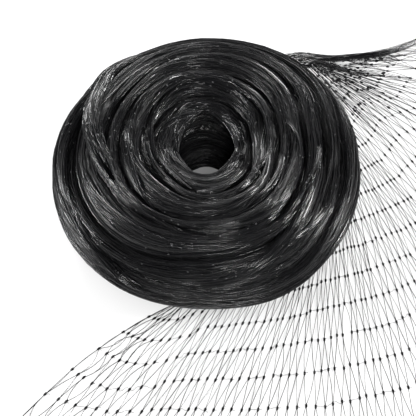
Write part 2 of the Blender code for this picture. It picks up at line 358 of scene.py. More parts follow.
def from_axis(places):
    """Places in metres, from millimetres from where the roll's axis meets the floor."""
    return np.asarray(places) * MM + [*AXIS, 0.0]


# The main ropes, in millimetres and degrees.
LAP_RISE = 5.0  # height of a rope that is as wide as FULL_LAP
FULL_LAP = 22.0
LAP_SUNK = 0.8  # share of that height that lies below the plain round section
LAP_ROUND = 2.4  # power of the crown: 2 is a parabola, and more is flatter on top
CLEFT_HALF = 1.7  # how far from its middle a cleft is still a third as deep
CLEFT_POWER = 1.4
DEGREES_PER_MM = 1.15  # round the section
MM_PER_DEGREE = 0.87
COLLAR = 3  # the rope round the mouth of the open middle
COLLAR_RISE = 2.5
COLLAR_GAP = 0.6  # the groove round the collar is wider than the others

# The wall of the open middle, under the collar.
WALL_EDGE = 4  # how far above the collar's lower groove it begins
WALL_EASE = 14.0
WALL_PLAIN = 0.7  # share of the ropes' height that is lost on it
WALL_SUNK = 12.0  # how far it draws back under its rim at the back
WALL_BACK = 0.7  # sine of the angle round the roll from which it draws back that far
FOOT_AT = 180  # where it comes forward again towards the floor
FOOT_EASE = 22.0
FOOT_RISE = 2.5
LIPS = (232, 308)  # where the two front ropes press into the open middle
LIP_SPREAD = 30
LIP_AT = 178
LIP_HALF = 34
LIP_RISE = 4.5

# The underside.
FLAT_DEPTH = 1.5  # how much of the round section is flattened where the roll rests
UNDER_AT = 226
UNDER_EASE = 30.5
UNDER_SUNK = 7.0
OUTER_UNDER = -2.5  # the height past the lowest outer groove


def lap_relief(turn, section):
    """Height of the main ropes in millimetres, for arrays of angles of one shape."""
    shape = np.shape(section)
    turn = np.ravel(turn)
    section = np.ravel(section)
    grooves = round_curve(GROOVES, turn)
    depths = round_curve(CLEFTS, turn)
    lap = np.clip((grooves > section).sum(axis=0) - 1, 0, len(GROOVES) - 2)
    every = np.arange(len(section))
    upper = grooves[lap, every]
    lower = grooves[lap + 1, every]
    f = np.clip((upper - section) / (upper - lower), 0, 1)
    rise = LAP_RISE * np.minimum(1.0, (upper - lower) / FULL_LAP)
    above = np.maximum(upper - section, 0) / DEGREES_PER_MM / CLEFT_HALF
    below = np.maximum(section - lower, 0) / DEGREES_PER_MM / CLEFT_HALF
    above = np.where(lap == COLLAR + 1, above * COLLAR_GAP, above)
    below = np.where(lap == COLLAR, below * COLLAR_GAP, below)
    cleft = np.maximum(
        depths[lap, every] * np.exp(-above ** CLEFT_POWER),
        depths[lap + 1, every] * np.exp(-below ** CLEFT_POWER),
    )
    crown = 1 - np.abs(2 * f - 1) ** LAP_ROUND
    relief = rise * (crown - LAP_SUNK) + np.where(lap == COLLAR, COLLAR_RISE * crown, 0) - cleft
    back = np.clip(np.sin(np.radians(turn)) / WALL_BACK, 0, 1)
    wall = eased(np.clip((section - grooves[COLLAR] + WALL_EDGE) / WALL_EASE, 0, 1))
    foot = eased(np.clip((section - FOOT_AT) / FOOT_EASE, 0, 1))
    lip = sum(bell(turn % 360 - at, LIP_SPREAD) for at in LIPS) * bell(section - LIP_AT, LIP_HALF)
    relief = relief * (1 - WALL_PLAIN * wall) - WALL_SUNK * back * wall * (1 - foot)
    relief = relief + LIP_RISE * lip + FOOT_RISE * foot * (1 - back)
    under = np.clip((section - UNDER_AT) / UNDER_EASE, 0, 1)
    relief = np.where(section > UNDER_AT, relief * (1 - under) - UNDER_SUNK * under, relief)
    relief = np.where(section < grooves[-2], np.minimum(relief, OUTER_UNDER), relief)
    return relief.reshape(shape)


SEAM_PEAK = 1.8  # a seam's sharp middle is this many times as deep as its table says
SEAM_FADE = 5


def seam_depth(turn, section):
    """Depth of the narrower grooves in millimetres."""
    total = np.zeros(np.shape(section))
    for row in SEAMS:
        first, last, depth, half = row[0], row[4], row[6], row[7]
        for shift in (0, 360):
            along = (turn + shift - first) / (last - first)
            inside = (along > 0) & (along < 1)
            if not inside.any():
                continue
            off = np.abs(section - bent_path(row, along)) * MM_PER_DEGREE / half
            seam = SEAM_PEAK * depth * faded(along, SEAM_FADE) * np.exp(-off)
            total = np.where(inside, np.maximum(total, seam), total)
    return total


def patches(rows, turn, section):
    """The largest of some soft round patches at arrays of angles."""
    total = np.zeros(np.shape(section))
    for angle, spread, middle, half, size in rows:
        off = (turn - angle + 180) % 360 - 180
        patch = size * np.exp(-((off / spread) ** 2) - ((section - middle) / half) ** 2)
        total = np.maximum(total, patch)
    return total


CROSSING_FADE = 4
DITCH = 0.8  # how far the ropes beside a crossing rope are pressed in, in millimetres
DITCH_AT = 1.15  # in half widths of the crossing rope, as is the next
DITCH_HALF = 0.22


def crossing_path(row, along):
    """Angle round the section of a crossing rope's middle line."""
    return row[1] + (row[3] - row[1]) * eased(along)


def crossing_rise(turn, section):
    """Height that the crossing ropes add in millimetres."""
    total = np.zeros(np.shape(section))
    for row in CROSSINGS:
        first, _, last, _, half, height = row
        along = (turn - first) / (last - first)
        inside = (along > 0) & (along < 1)
        along = np.clip(along, 0, 1)
        off = (section - crossing_path(row, along)) / half
        fade = faded(along, CROSSING_FADE)
        rise = height * fade * np.sqrt(np.clip(1 - off * off, 0, 1))
        ditch = DITCH * fade * bell(np.abs(off) - DITCH_AT, DITCH_HALF)
        total = np.where(inside & (rise > total), rise, total)
        total = np.where(inside & (rise <= 0) & (total <= 0), np.minimum(total, -ditch), total)
    return total


def rope_relief(turn, section):
    """Height of the main ropes with their hollows in millimetres."""
    return lap_relief(turn, section) - patches(HOLLOWS, turn, section)


def seamed_relief(turn, section):
    """Height of the main ropes, hollows and seams in millimetres."""
    return rope_relief(turn, section) - seam_depth(turn, section)


def full_relief(turn, section):
    """Height of the roll's surface over the plain round section in millimetres."""
    return (
        rope_relief(turn, section) + crossing_rise(turn, section) - seam_depth(turn, section)
    )


BRIDGED = 1.5  # how far a crossing rope dips into the grooves it bridges, in millimetres


def bridge_relief(turn, section):
    """Height of a rope that lies across the others and bridges the grooves between them."""
    return np.maximum(rope_relief(turn, section), -BRIDGED) + crossing_rise(turn, section)


# How near the floor the middle of each kind of thread and knot may come, in metres.
WOUND_LOWEST = 0.0002
GATHERED_LOWEST = 0.0004
NET_LOWEST = 0.00025
ROW_LOWEST = 0.0003
KNOT_LOWEST = 0.0001


def section_radii(sizes):
    """Radius of the ring round which the roll's section runs, and half the section's width."""
    return (sizes.width + sizes.hole) / 4, (sizes.width - sizes.hole) / 4


def roll_place(sizes, turn, section, out):
    """Places on the roll from two arrays of angles in degrees and a height in millimetres."""
    ring, thick = section_radii(sizes)
    high = (sizes.height + FLAT_DEPTH * MM) / 2
    around = np.radians(turn)
    tilt = np.radians(section)
    scale = 1 + sizes.lean * np.sin(around)
    bulge = round_curve(BULGES, np.ravel(turn))[0].reshape(np.shape(around))
    out = (out + bulge * np.maximum(0, np.cos(tilt))) * MM
    rho = ring + (thick * scale + out) * np.cos(tilt)
    z = high * scale * (1 + np.sin(tilt)) + out * np.sin(tilt) - FLAT_DEPTH * MM
    x = AXIS[0] + rho * np.cos(around)
    y = AXIS[1] + rho * np.sin(around)
    return np.stack([x, y, np.maximum(z, WOUND_LOWEST)], axis=-1)


def clean_selection():
    """Leave object mode's selection empty."""
    if bpy.context.object and bpy.context.object.mode != "OBJECT":
        bpy.ops.object.mode_set(mode="OBJECT")
    bpy.ops.object.select_all(action="DESELECT")


def finish_piece(obj, name, surface, solid):
    """Name a piece, give it its material, hang it from the root body and hide the solid it stands
    for.
    """
    obj.name = name
    obj.data.name = name
    obj.data.materials.clear()
    obj.data.materials.append(surface)
    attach(obj, "root")
    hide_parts(solid)


def threads(name, runs, thickness, sides=3):
    """Round threads through runs of points: (places, thickness factor, shine) at each place."""
    clean_selection()
    bpy.ops.curve.primitive_bezier_circle_add()
    profile = bpy.context.object
    profile.data.splines.clear()
    edge = profile.data.splines.new("POLY")
    edge.points.add(sides - 1)
    for i, point in enumerate(edge.points):
        angle = 2 * math.pi * i / sides
        point.co = (thickness / 2 * math.cos(angle), thickness / 2 * math.sin(angle), 0, 1)
    edge.use_cyclic_u = True
    curve = bpy.data.curves.new(name, "CURVE")
    curve.dimensions = "3D"
    curve.bevel_mode = "OBJECT"
    curve.bevel_object = profile
    curve.twist_mode = "MINIMUM"
    rolled = np.random.default_rng(3)
    gloss = []
    for places, factor, shine in runs:
        count = len(places)
        gloss.append(np.repeat(np.broadcast_to(shine, count), sides))
        spline = curve.splines.new("POLY")
        spline.points.add(count - 1)
        spline.points.foreach_set("co", np.column_stack([places, np.ones(count)]).ravel())
        spline.points.foreach_set("radius", np.broadcast_to(factor, count).astype(float))
        spline.points.foreach_set("tilt", np.full(count, rolled.uniform(0, 2 * math.pi)))
    obj = bpy.data.objects.new(name, curve)
    bpy.context.scene.collection.objects.link(obj)
    clean_selection()
    obj.select_set(True)
    bpy.context.view_layer.objects.active = obj
    bpy.ops.object.convert(target="MESH")
    bpy.data.objects.remove(profile, do_unlink=True)
    obj.data.shade_smooth()
    layer = obj.data.attributes.new("shine", "FLOAT", "POINT")
    layer.data.foreach_set("value", np.concatenate(gloss))
    return obj


KNOT_SIDES = 5
KNOT_TIP = 0.5  # in knot lengths from the middle
KNOT_RINGS = ((-0.28, 0.8), (0.12, 1.0))  # place in knot lengths, share of the knot's width


def beads(name, places, along, length, width):
    """Small knots, each round its thread, drawn out along it and pointed at both ends."""
    places = np.asarray(places)
    along = np.asarray(along)
    along = along / np.linalg.norm(along, axis=1)[:, None]
    side = np.cross(along, (0, 0, 1.0))
    side = side / np.maximum(np.linalg.norm(side, axis=1), 1e-9)[:, None]
    up = np.cross(side, along)
    columns = [places - along * length * KNOT_TIP]
    for at, share in KNOT_RINGS:
        reach = width / 2 * share
        for k in range(KNOT_SIDES):
            a = 2 * math.pi * k / KNOT_SIDES
            columns.append(
                places + along * length * at
                + side * reach * math.cos(a) + up * reach * math.sin(a)
            )
    columns.append(places + along * length * KNOT_TIP)
    points = np.stack(columns, axis=1)
    points[:, :, 2] = np.maximum(points[:, :, 2], KNOT_LOWEST)
    per = len(columns)
    faces = []
    for k in range(KNOT_SIDES):
        this, after = 1 + k, 1 + (k + 1) % KNOT_SIDES
        faces += [
            (0, after, this),
            (this, after, KNOT_SIDES + after),
            (this, KNOT_SIDES + after, KNOT_SIDES + this),
            (KNOT_SIDES + this, KNOT_SIDES + after, per - 1),
        ]
    every = np.array(faces) + (np.arange(len(places)) * per)[:, None, None]
    mesh = bpy.data.meshes.new(name)
    mesh.from_pydata(points.reshape(-1, 3).tolist(), [], every.reshape(-1, 3).tolist())
    mesh.validate()
    mesh.shade_smooth()
    obj = bpy.data.objects.new(name, mesh)
    bpy.context.scene.collection.objects.link(obj)
    return obj


# ---------------------------------------------------------------- materials

NYLON_IOR = 1.53
KEPT_SHINE = 0.12  # share of their gloss that threads keep in the dulled patches
FACTOR, FIRST, SECOND, MIXED = 0, 6, 7, 2  # a Mix node's sockets for colours

# Sizes of the patterns in millimetres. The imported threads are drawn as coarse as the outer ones
# and the scuffs longer than real ones, because finer ones don't show.
SCUFF = 3.85
STREAK_LENGTH = 11.0
STREAK_WIDTH = 0.745
STREAK_DEPTH = 0.9
CLOUD = 330.0

PAINTED_SHADOW_EDGES = (0.05, 0.132)  # the glow rises between these two distances from the axis, in metres: a painted shadow round the roll
GLOW_IN_PAINTED_SHADOW = 0.2  # share of it that is left under the roll, where the dimmer glow is painted shadow


def cells(size, length=1.0):
    """How many cells of a pattern go into a length in metres, if one is so many millimetres."""
    return round(length / (size * MM))


def fit(made, settings):
    """Give a node its settings and those of its inputs, and join sockets to its inputs."""
    for key, value in settings.items():
        if isinstance(value, bpy.types.NodeSocket):
            made.id_data.links.new(value, made.inputs[key])
        elif isinstance(key, int) or key in made.inputs:
            made.inputs[key].default_value = value
        else:
            setattr(made, key, value)
    return made


def node(tree, kind, settings=None):
    """Add one node with its settings and links."""
    return fit(tree.nodes.new(kind), settings or {})


def blank_material(name):
    """A new material with its node tree and its Principled shader."""
    made = bpy.data.materials.new(name)
    made.use_nodes = True
    return made, made.node_tree, made.node_tree.nodes["Principled BSDF"]


def nylon_thread(name, finish, gloss=0.2):
    """Extruded nylon monofilament, dyed black in the mass.

    It is smooth and glossy, which gives thin bright lines along the threads that lie right for
    a lamp. Each thread is scuffed its own way, so that many between them stay dull and black.
    """
    made, tree, shader = blank_material(name)
    thread = node(tree, "ShaderNodeNewGeometry").outputs["Random Per Island"]
    shine = node(tree, "ShaderNodeAttribute", {"attribute_name": "shine"}).outputs["Fac"]
    scuffs = node(tree, "ShaderNodeTexNoise", {
        "Scale": cells(SCUFF), "Detail": 2.0,
        "Vector": node(tree, "ShaderNodeTexCoord").outputs["Object"],
    })
    scuffed = node(tree, "ShaderNodeMath", {
        "operation": "MULTIPLY", 0: scuffs.outputs["Fac"], 1: thread,
    })
    # the scuffed grey follows the shine, so where the listed patches dim it the colour is painted
    # blacker: painted shade
    shown = node(tree, "ShaderNodeMath", {
        "operation": "MULTIPLY", 0: scuffed.outputs["Value"], 1: shine,
    })
    worn = node(tree, "ShaderNodeMapRange", {
        "Value": shown.outputs["Value"], "From Min": 0.06, "From Max": 0.38,
    })
    colour = node(tree, "ShaderNodeMix", {
        "data_type": "RGBA", FACTOR: worn.outputs["Result"],
        FIRST: (*finish.black, 1.0), SECOND: (*finish.worn, 1.0),
    })
    kept = node(tree, "ShaderNodeMath", {
        "operation": "MULTIPLY_ADD", 0: shine, 1: 1 - KEPT_SHINE, 2: KEPT_SHINE,
    })
    glossy = node(tree, "ShaderNodeMath", {
        "operation": "MULTIPLY", 0: kept.outputs["Value"], 1: thread,
    }).outputs["Value"]
    rough = node(tree, "ShaderNodeMapRange", {
        "Value": glossy, "From Min": 0.2, "From Max": 0.5,
        "To Min": gloss + 0.3, "To Max": gloss - 0.07,
    })
    mirror = node(tree, "ShaderNodeMapRange", {
        "Value": glossy, "From Min": 0.0, "From Max": 0.5, "To Min": 0.02, "To Max": 0.4,
    })
    fit(shader, {
        "Base Color": colour.outputs[MIXED], "Roughness": rough.outputs["Result"],
        "Specular IOR Level": mirror.outputs["Result"], "IOR": NYLON_IOR,
    })
    return made


def knots_with_painted_highlight(name, finish):
    """The same nylon in tight knots, painted grey for the small light dots where they catch the
    lamps: a painted highlight.
    """
    made, tree, shader = blank_material(name)
    colour = node(tree, "ShaderNodeMix", {
        "data_type": "RGBA",
        FACTOR: node(tree, "ShaderNodeNewGeometry").outputs["Random Per Island"],
        FIRST: (*finish.worn, 1.0), SECOND: (*finish.knot, 1.0),
    })
    fit(shader, {"Base Color": colour.outputs[MIXED], "Roughness": 0.4, "IOR": NYLON_IOR})
    return made


def packed_threads(name, sizes, finish):
    """The threads deeper in the roll, painted darker than the outer threads' black: painted
    shade, with a dark grain, for the gaps between the outer ones.
    """
    made, tree, shader = blank_material(name)
    ring, thick = section_radii(sizes)
    scaled = node(tree, "ShaderNodeMapping", {
        "Vector": node(tree, "ShaderNodeUVMap", {"uv_map": "UVMap"}).outputs["UV"],
        "Scale": (
            cells(STREAK_LENGTH, math.tau * ring), cells(STREAK_WIDTH, math.tau * thick), 1.0
        ),
    })
    streaks = node(tree, "ShaderNodeTexNoise", {
        "Scale": 1.0, "Detail": 3.0, "Vector": scaled.outputs["Vector"],
    })
    # painted shade: the core's colour goes down to a fifth of the threads' black
    colour = node(tree, "ShaderNodeMix", {
        "data_type": "RGBA", FACTOR: streaks.outputs["Fac"],
        FIRST: (*(c * 0.2 for c in finish.black), 1.0), SECOND: (*finish.black, 1.0),
    })
    bump = node(tree, "ShaderNodeBump", {
        "Strength": 1.0, "Distance": STREAK_DEPTH * MM, "Height": streaks.outputs["Fac"],
    })
    fit(shader, {
        "Base Color": colour.outputs[MIXED], "Normal": bump.outputs["Normal"],
        "Roughness": 0.42, "Specular IOR Level": 0.2, "IOR": NYLON_IOR,
    })
    return made


def light_table(finish):
    """Opal acrylic sheet lit from below, which gives a pale, even floor without a gleam. Its glow
    is painted dimmer near the roll's axis, a painted shadow.
    """
    made, tree, shader = blank_material("opal_acrylic")
    where = node(tree, "ShaderNodeTexCoord").outputs["Object"]
    cloud = node(tree, "ShaderNodeTexNoise", {
        "Scale": cells(CLOUD), "Detail": 2.0, "Vector": where,
    })
    colour = node(tree, "ShaderNodeMix", {
        "data_type": "RGBA", FACTOR: cloud.outputs["Fac"],
        FIRST: (*finish.floor, 1.0), SECOND: (*(c * 0.985 for c in finish.floor), 1.0),
    })
    middle = node(tree, "ShaderNodeMapping", {
        "Vector": where, "Location": (-AXIS[0], -AXIS[1], 0.0),
    })
    away = node(tree, "ShaderNodeVectorMath", {
        "operation": "LENGTH", 0: middle.outputs["Vector"],
    })
    # painted shadow: the floor's glow is dimmer near the roll's axis
    glow = node(tree, "ShaderNodeMapRange", {
        "interpolation_type": "SMOOTHSTEP", "Value": away.outputs["Value"],
        "From Min": PAINTED_SHADOW_EDGES[0], "From Max": PAINTED_SHADOW_EDGES[1],
        "To Min": GLOW_IN_PAINTED_SHADOW * finish.glow, "To Max": finish.glow,
    })
    fit(shader, {
        "Base Color": colour.outputs[MIXED], "Emission Strength": glow.outputs["Result"],
        "Emission Color": (1.0, 1.0, 1.0, 1.0), "Roughness": 0.9, "Specular IOR Level": 0.0,
    })
    return made


# ---------------------------------------------------------------- the wound roll

CORE_STEPS = (256, 220)  # round the roll and round its section
CORE_SUNK = 0.5  # how far below the outer threads' middle the core's surface lies


class NETTING_OT_wind_core(bpy.types.Operator):
    """Shape the wound body that the outer threads lie on."""

    bl_idname = "netting.wind_core"
    bl_label = "Wind the core"

    def execute(self, context):
        sizes = context.scene.netting_roll
        ring, thick = section_radii(sizes)
        clean_selection()
        bpy.ops.mesh.primitive_torus_add(
            major_segments=CORE_STEPS[0], minor_segments=CORE_STEPS[1], major_radius=ring,
            minor_radius=thick, generate_uvs=True,
        )
        obj = context.object
        mesh = obj.data
        places = np.empty(len(mesh.vertices) * 3)
        mesh.vertices.foreach_get("co", places)
        x, y, z = places.reshape(-1, 3).T
        turn = np.degrees(np.arctan2(y, x)) % 360
        section = np.degrees(np.arctan2(z, np.hypot(x, y) - ring))
        section = np.where(section < -90, section + 360, section)
        shaped = roll_place(sizes, turn, section, full_relief(turn, section) - CORE_SUNK)
        mesh.vertices.foreach_set("co", shaped.reshape(-1))
        mesh.update()
        mesh.shade_smooth()
        surface = packed_threads("packed_nylon_painted_shade", sizes, context.scene.netting_finish)
        finish_piece(obj, "packed_core", surface, "wound_roll")
        return {"FINISHED"}


RING, HALF_SECTION = 70.25, 49.75  # millimetres, to space the points of a thread by
STEP = 8.4  # millimetres between two points of a thread
LONGEST_STEP = 9.0  # degrees round the roll
FINER = 0.8  # the points of the threads that cross or stand out are this much closer
PHASE = 6.3  # radians, the whole turn that a wave may start in
LOCK_THREADS = 8
LOCK_SPAN = (90, 230)  # degrees round the roll that a lock shows before another takes over
SHORTEST_SPAN = 50
LOCK_OVER = (8, 12)  # degrees that a lock goes on beyond its span at both ends
SLACK = 0.012  # how far a thread strays from its path between two points, as a share of the step
THREAD_WAVE = (0.3, 4, 9)  # a thread's sway in millimetres: size, least and most a radian
LOCK_WAVE = (0.4, 7, 16)  # the same for a whole lock
RISE_SHARE = 0.7  # how much of that straying and swaying goes up and down
BURIED = 1.6  # how far the ends of a thread dive below the surface
DIVE_POINTS = 3.0  # over this many points
THIN_END = 0.5  # thickness of a thread's end, as a share
THICKNESS = (0.8, 1.2)  # how much the threads differ
SHORTEST_RUN = 6  # points, below which a thread is left out
LOCK_TWIST = 0.7  # most half turns that the threads of a lock wind round each other
LOCK_ARC = (1.3, 0.15)  # half turns that they cover, and how far down the first side they start
BRIGHTENING = 0.7  # below 1, so that more locks are bright than dull
KEPT_OFF = 0.42  # how far a lock's middle stays from its rope's grooves, in lock widths
MOST_OFF = 0.45  # the same as a share of the rope's width, where that is less
CROSSING_LAYERS = 2.2  # how many times the locks cover a crossing rope
STRAND_LOCK = (1.5, 2.4)  # spacing and width of the locks in a strand, in millimetres


def reach_at(section):
    """Millimetres from the roll's axis to a place at an angle round the section."""
    return RING + HALF_SECTION * math.cos(math.radians(section))


def turn_step(section):
    """Degrees round the roll between two points of a thread at an angle round the section."""
    return min(LONGEST_STEP, math.degrees(STEP / reach_at(section)))


def sway(rng, place, size, least, most):
    """A wave along a thread, of some size and of so many millimetres for each radian."""
    return rng.normal(0, size) * np.sin(place / rng.uniform(least, most) + rng.uniform(0, PHASE))


def lock_runs(rng, sizes, turn, path, relief, count, width, height, crown=0.0, least=0.0):
    """Threads of one lock that follow a path (angle round the section at each angle)."""
    runs = []
    steps = len(turn)
    early = max(1, steps // 6)
    along = np.linspace(0, 1, steps)
    twist = rng.uniform(-LOCK_TWIST, LOCK_TWIST) * math.pi
    step = math.radians(turn[1] - turn[0]) * reach_at(path.mean())
    place = np.arange(steps) * step
    aside, aloft = [sway(rng, place, *LOCK_WAVE) for _ in range(2)]
    shine = least + (1 - least) * rng.uniform(0, 1) ** BRIGHTENING
    for number in range(count):
        first = int(rng.integers(0, early))
        last = steps - int(rng.integers(0, early))
        if last - first < SHORTEST_RUN:
            continue
        part = slice(first, last)
        share = (number + rng.uniform(0, 1)) / count
        angle = math.pi * (LOCK_ARC[0] * share - LOCK_ARC[1]) + twist * (along[part] - 0.5)
        reach = rng.uniform(0.75, 1.0)
        wander = sway(rng, place[part], *THREAD_WAVE)
        off = reach * np.cos(angle) * width / 2 + wander
        lift = reach * np.sin(angle) * height / 2
        off = off + aside[part] + rng.normal(0, SLACK * step, last - first)
        lift = lift + RISE_SHARE * aloft[part]
        lift = lift + rng.normal(0, RISE_SHARE * SLACK * step, last - first)
        section = path[part] + off * DEGREES_PER_MM
        ends = np.minimum(np.arange(last - first), np.arange(last - first)[::-1])
        dive = BURIED * np.clip(1 - ends / DIVE_POINTS, 0, 1) ** 2
        out = relief(turn[part], section) + lift - dive + np.broadcast_to(crown, steps)[part]
        places = roll_place(sizes, turn[part], section, out)
        factor = np.clip(THIN_END + ends / 2.0, THIN_END, 1) * rng.uniform(*THICKNESS)
        # the listed patches dim the shine, which dulls these threads and paints them blacker:
        # painted shade
        runs.append((places, factor, shine * (1 - patches(SHADED_DULL_PATCHES, turn[part], section))))
    return runs


def lap_runs(rng, sizes, laps):
    """Locks of thread that follow the main ropes."""
    runs = []
    lock_width = sizes.lock_width / MM
    middle = round_curve(GROOVES, np.arange(0, 360, 10.0))
    for lap in laps:
        width = (middle[lap] - middle[lap + 1]).mean() / DEGREES_PER_MM
        locks = max(2, int(sizes.layers * width / lock_width))
        for number in range(locks):
            share = (number + rng.uniform(0.3, 0.7)) / locks
            start = rng.uniform(0, 360)
            left = 360.0
            while left > 0:
                span = min(left, rng.uniform(*LOCK_SPAN))
                span = span if left - span > SHORTEST_SPAN else left
                turn = start + np.arange(
                    -LOCK_OVER[0], span + LOCK_OVER[1], turn_step(middle[lap].mean())
                )
                left -= span
                start += span
                grooves = round_curve(GROOVES, turn)
                drift = rng.normal(0, 0.05) * np.sin(np.radians(turn * rng.uniform(0.8, 2.4)))
                drift = drift + rng.uniform(-0.3, 0.3) * np.linspace(-1, 1, len(turn))
                across = lock_width * rng.uniform(0.7, 1.5)
                room = (grooves[lap] - grooves[lap + 1]) / DEGREES_PER_MM
                edge = np.minimum(MOST_OFF, KEPT_OFF * across / room)
                f = np.clip(share + drift * 4 * share * (1 - share), edge, 1 - edge)
                path = grooves[lap] + (grooves[lap + 1] - grooves[lap]) * f
                runs += lock_runs(
                    rng, sizes, turn, path, seamed_relief, LOCK_THREADS, across,
                    rng.uniform(1.2, 2.5), rng.normal(0, 0.4),
                )
    return runs


def crossing_runs(rng, sizes):
    """Locks of thread that cross over the main ropes."""
    runs = []
    lock_width = sizes.lock_width / MM
    for row in CROSSINGS:
        first, section, last, _, half, _ = row
        locks = int(CROSSING_LAYERS * 2 * half / DEGREES_PER_MM / lock_width) + 2
        turn = np.arange(first + 2, last - 2, FINER * turn_step(section))
        along = (turn - first) / (last - first)
        spread = 0.55 + 0.45 * np.sin(math.pi * along)
        for number in range(locks):
            share = (number + 0.5) / locks * 2 - 1
            path = crossing_path(row, along) + share * half * spread * 0.95
            runs += lock_runs(
                rng, sizes, turn, path, bridge_relief, LOCK_THREADS + 2, lock_width,
                rng.uniform(1.4, 2.6), 0.0, 0.5,
            )
    return runs


def strand_runs(rng, sizes):
    """Small locks that stand out on the ropes."""
    runs = []
    for row in STRANDS:
        first, last, half, rise = row[0], row[4], row[6], row[7]
        turn = np.arange(first, last, FINER * turn_step(row[3]))
        along = (turn - first) / (last - first)
        middle = bent_path(row, along)
        locks = int(2 * half / DEGREES_PER_MM / STRAND_LOCK[0]) + 1
        lift = rise * faded(along, 4)
        for number in range(locks):
            share = (number + 0.5) / locks * 2 - 1
            path = middle + share * half * (0.6 + 0.4 * np.sin(math.pi * along))
            runs += lock_runs(
                rng, sizes, turn, path, bridge_relief, LOCK_THREADS, STRAND_LOCK[1],
                rng.uniform(1.2, 1.8), lift * (1 - 0.6 * share * share), 0.6,
            )
    return runs


ROPES = (
    # name, its main ropes, share of the threads that show a knot
    ("inner_threads", range(1, 4), 0.15),
    ("top_threads", range(4, 7), 0.35),
    ("shoulder_threads", range(7, 9), 0.35),
    ("outer_threads", range(9, 11), 0.3),
    ("under_threads", range(11, len(GROOVES) - 1), 0.2),
    ("crossing_threads", (), 0.35),
)
WOUND_KNOT = (0.0015, 0.0009)  # length and width in metres, coarser than the real ones to show
KNOT_LIFT = (0, 0, 0.0004)


class NETTING_OT_wind_threads(bpy.types.Operator):
    """Lay the outer threads on the wound body, in locks that follow its ropes."""

    bl_idname = "netting.wind_threads"
    bl_label = "Wind the outer threads"

    def execute(self, context):
        sizes = context.scene.netting_roll
        finish = context.scene.netting_finish
        rng = np.random.default_rng(11)
        surface = nylon_thread("black_nylon_monofilament", finish)
        knots, headings = [], []
        for name, laps, knotted in ROPES:
            runs = lap_runs(rng, sizes, laps)
            if not laps:
                runs = crossing_runs(rng, sizes) + strand_runs(rng, sizes)
            obj = threads(name, runs, sizes.thread)
            finish_piece(obj, name, surface, "wound_roll")
            for places, _, _ in runs:
                for i in rng.integers(2, len(places) - 2, size=int(rng.uniform() < knotted)):
                    knots.append(places[i] + KNOT_LIFT)
                    headings.append(places[i + 1] - places[i - 1])
        obj = beads("wound_knots", knots, headings, *WOUND_KNOT)
        # the knots are painted lighter grey, a painted highlight
        surface = knots_with_painted_highlight("nylon_knots_painted_highlight", finish)
        finish_piece(obj, "wound_knots", surface, "wound_roll")
        return {"FINISHED"}


# ---------------------------------------------------------------- the gathered end

GATHERED_THREAD = 1.2  # thickness of its threads in wound threads
BAND_THREADS = 120
BRANCH_THREADS = 64
ROW_POINTS = 6  # points of a thread from one row of the tables to the next
LATE = 0.2  # share of the threads that begin late
FUZZ = 0.12  # how far the threads stray from point to point, in millimetres


def bundle_runs(rng, rows, count, early, stray):
    """Threads of a gathered rope; a share of them ends early, and a share strays outside it."""
    steps = ROW_POINTS * len(rows) + 1
    rows = open_curve(rows, np.linspace(0, len(rows) - 1, steps))
    centre = from_axis(rows[:, :3])
    ahead = np.gradient(centre, axis=0)
    side = np.stack([ahead[:, 1], -ahead[:, 0], 0 * ahead[:, 0]], axis=1)
    side = side / np.linalg.norm(side, axis=1)[:, None]
    up = np.cross(side, ahead)
    up = up / np.linalg.norm(up, axis=1)[:, None]
    along = np.linspace(0, 1, steps)
    runs = []
    for _ in range(count):
        first = int(rng.integers(0, steps // 2)) if rng.uniform() < LATE else 0
        last = steps - (int(rng.integers(0, steps // 2)) if rng.uniform() < early else 0)
        if last - first < 8:
            continue
        part = slice(first, last)
        reach = rng.uniform(0.1, 1.0) ** 0.4  # most lie near the outside
        if rng.uniform() < stray:
            reach = reach * (1 + rng.uniform(0.2, 0.8) * np.sin(math.pi * along[part] * 3) ** 2)
        angle = rng.uniform(0, 2 * math.pi) + along[part] * rng.uniform(1.5, 5.0)
        reach = reach * (1 + 0.1 * np.sin(along[part] * rng.uniform(20, 90)))
        a = (reach * np.cos(angle) * rows[part, 3] * MM)[:, None]
        b = (reach * np.sin(angle) * rows[part, 4] * MM)[:, None]
        places = centre[part] + side[part] * a + up[part] * b
        places[:, :2] += rng.normal(0, FUZZ * MM, (last - first, 2))
        places[:, 2] = np.maximum(places[:, 2], GATHERED_LOWEST)
        runs.append((places, rng.uniform(0.6, 1.0), 1.0))
    return runs


class NETTING_OT_gather_tail(bpy.types.Operator):
    """Lay the gathered end as a rope of threads from behind the roll along the net's edge."""

    bl_idname = "netting.gather_tail"
    bl_label = "Gather the end"

    def execute(self, context):
        sizes = context.scene.netting_roll
        finish = context.scene.netting_finish
        rng = np.random.default_rng(23)
        runs = bundle_runs(rng, BAND, BAND_THREADS, 0.12, 0.12)
        runs += bundle_runs(rng, BRANCH, BRANCH_THREADS, 0.9, 0.15)
        obj = threads("gathered_threads", runs, GATHERED_THREAD * sizes.thread)
        surface = nylon_thread("gathered_nylon_monofilament", finish, 0.22)
        finish_piece(obj, "gathered_threads", surface, "gathered_tail")
        return {"FINISHED"}


# ---------------------------------------------------------------- the spread net

